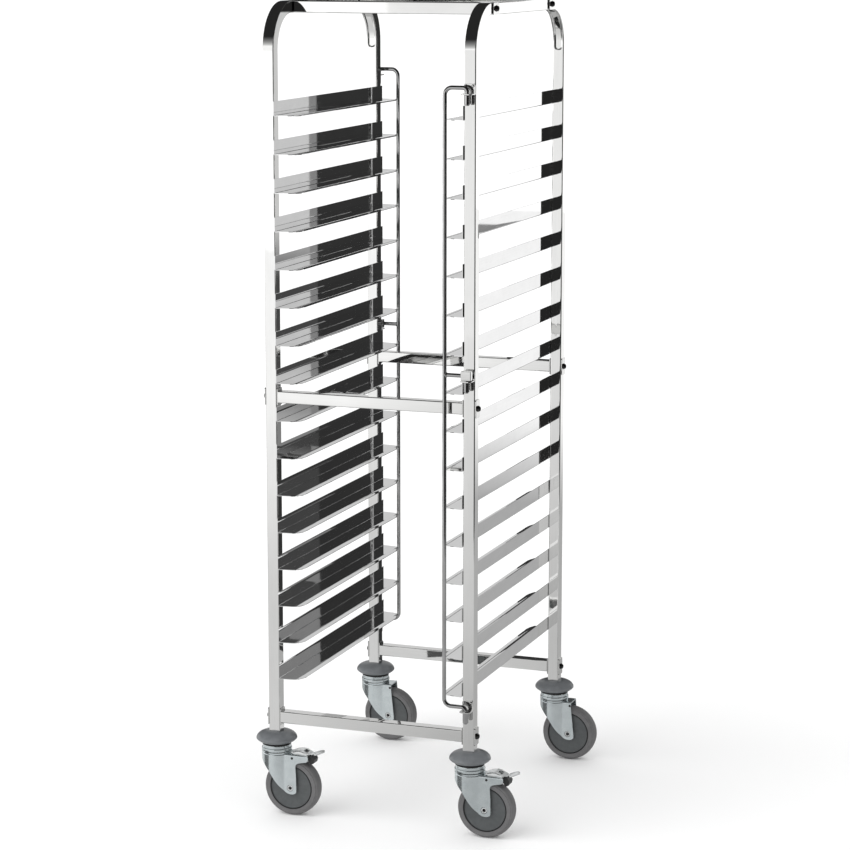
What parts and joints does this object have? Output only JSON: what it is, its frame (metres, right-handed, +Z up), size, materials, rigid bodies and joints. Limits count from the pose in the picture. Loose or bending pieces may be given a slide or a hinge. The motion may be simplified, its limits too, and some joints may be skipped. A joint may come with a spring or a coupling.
{
  "type": "sheet pan rack",
  "caption": "Tall open rack of square tube on swivel casters, with facing ledges that hold sheet pans and a lift-off swing bar at each end.",
  "frame": {"origin": "on the floor, at the centre of the footprint of the whole model with its casters trailing to +X", "axes": "+Z up, the front of the rack faces -Y, +X is to the right seen from the front"},
  "size_m": [0.596, 0.678, 1.735],
  "materials": {
    "polished_tube": "polished stainless steel tube",
    "runner_sheet": "bright stainless steel sheet",
    "bright_rod": "bright round stainless steel rod",
    "bracket_sheet": "folded stainless steel sheet",
    "bumper_rubber": "moulded grey bumper ring over a zinc plated race and stem",
    "zinc_steel": "pressed steel, bright zinc plated",
    "wheel_rubber": "grey non-marking tread on a dark grey moulded centre",
    "pedal_steel": "zinc plated pressed pedal with a dark brake shoe"
  },
  "bodies": {
    "rack": {"left_side_frame": "polished_tube", "right_side_frame": "polished_tube", "front_bottom_rail": "polished_tube", "rear_bottom_rail": "polished_tube", "front_middle_rail": "polished_tube", "rear_middle_rail": "polished_tube", "front_top_rail": "polished_tube", "rear_top_rail": "polished_tube", "left_runner_01": "runner_sheet", "left_runner_02": "runner_sheet", "left_runner_03": "runner_sheet", "left_runner_04": "runner_sheet", "left_runner_05": "runner_sheet", "left_runner_06": "runner_sheet", "left_runner_07": "runner_sheet", "left_runner_08": "runner_sheet", "left_runner_09": "runner_sheet", "left_runner_10": "runner_sheet", "left_runner_11": "runner_sheet", "left_runner_12": "runner_sheet", "left_runner_13": "runner_sheet", "left_runner_14": "runner_sheet", "left_runner_15": "runner_sheet", "left_runner_16": "runner_sheet", "right_runner_01": "runner_sheet", "right_runner_02": "runner_sheet", "right_runner_03": "runner_sheet", "right_runner_04": "runner_sheet", "right_runner_05": "runner_sheet", "right_runner_06": "runner_sheet", "right_runner_07": "runner_sheet", "right_runner_08": "runner_sheet", "right_runner_09": "runner_sheet", "right_runner_10": "runner_sheet", "right_runner_11": "runner_sheet", "right_runner_12": "runner_sheet", "right_runner_13": "runner_sheet", "right_runner_14": "runner_sheet", "right_runner_15": "runner_sheet", "right_runner_16": "runner_sheet", "front_upper_hinge_bracket": "bracket_sheet", "front_lower_hinge_bracket": "bracket_sheet", "rear_upper_hinge_bracket": "bracket_sheet", "rear_lower_hinge_bracket": "bracket_sheet", "front_left_caster_stem": "bumper_rubber", "front_right_caster_stem": "bumper_rubber", "rear_left_caster_stem": "bumper_rubber", "rear_right_caster_stem": "bumper_rubber"},
    "front_left_caster": {"front_left_caster_fork": "zinc_steel"},
    "front_left_wheel_set": {"front_left_wheel": "wheel_rubber"},
    "front_left_brake": {"front_left_brake_pedal": "pedal_steel"},
    "front_right_caster": {"front_right_caster_fork": "zinc_steel"},
    "front_right_wheel_set": {"front_right_wheel": "wheel_rubber"},
    "front_right_brake": {"front_right_brake_pedal": "pedal_steel"},
    "rear_left_caster": {"rear_left_caster_fork": "zinc_steel"},
    "rear_left_wheel_set": {"rear_left_wheel": "wheel_rubber"},
    "rear_right_caster": {"rear_right_caster_fork": "zinc_steel"},
    "rear_right_wheel_set": {"rear_right_wheel": "wheel_rubber"},
    "front_bar": {"front_swing_bar": "bright_rod"},
    "rear_bar": {"rear_swing_bar": "bright_rod"}
  },
  "joints": [
    {"name": "front_left_swivel", "type": "hinge", "parent": "rack", "child": "front_left_caster", "pos_m": [-0.254, -0.295, 0.139], "axis": [0, 0, 1], "continuous": true},
    {"name": "front_left_wheel_spin", "type": "hinge", "parent": "front_left_caster", "child": "front_left_wheel_set", "pos_m": [-0.2155, -0.295, 0.0625], "axis": [0, 1, 0], "continuous": true},
    {"name": "front_left_brake_press", "type": "hinge", "parent": "front_left_caster", "child": "front_left_brake", "pos_m": [-0.188, -0.295, 0.129], "axis": [0, 1, 0], "range_deg": [0, 20]},
    {"name": "front_right_swivel", "type": "hinge", "parent": "rack", "child": "front_right_caster", "pos_m": [0.187, -0.295, 0.139], "axis": [0, 0, 1], "continuous": true},
    {"name": "front_right_wheel_spin", "type": "hinge", "parent": "front_right_caster", "child": "front_right_wheel_set", "pos_m": [0.2255, -0.295, 0.0625], "axis": [0, 1, 0], "continuous": true},
    {"name": "front_right_brake_press", "type": "hinge", "parent": "front_right_caster", "child": "front_right_brake", "pos_m": [0.253, -0.295, 0.129], "axis": [0, 1, 0], "range_deg": [0, 20]},
    {"name": "rear_left_swivel", "type": "hinge", "parent": "rack", "child": "rear_left_caster", "pos_m": [-0.254, 0.295, 0.139], "axis": [0, 0, 1], "continuous": true},
    {"name": "rear_left_wheel_spin", "type": "hinge", "parent": "rear_left_caster", "child": "rear_left_wheel_set", "pos_m": [-0.2155, 0.295, 0.0625], "axis": [0, 1, 0], "continuous": true},
    {"name": "rear_right_swivel", "type": "hinge", "parent": "rack", "child": "rear_right_caster", "pos_m": [0.187, 0.295, 0.139], "axis": [0, 0, 1], "continuous": true},
    {"name": "rear_right_wheel_spin", "type": "hinge", "parent": "rear_right_caster", "child": "rear_right_wheel_set", "pos_m": [0.2255, 0.295, 0.0625], "axis": [0, 1, 0], "continuous": true},
    {"name": "front_bar_swing", "type": "hinge", "parent": "rack", "child": "front_bar", "pos_m": [0.187, -0.324, 0.985], "axis": [0, 0, 1], "range_deg": [0, 180]},
    {"name": "rear_bar_swing", "type": "hinge", "parent": "rack", "child": "rear_bar", "pos_m": [-0.254, 0.324, 0.985], "axis": [0, 0, 1], "range_deg": [0, 180]}
  ]
}
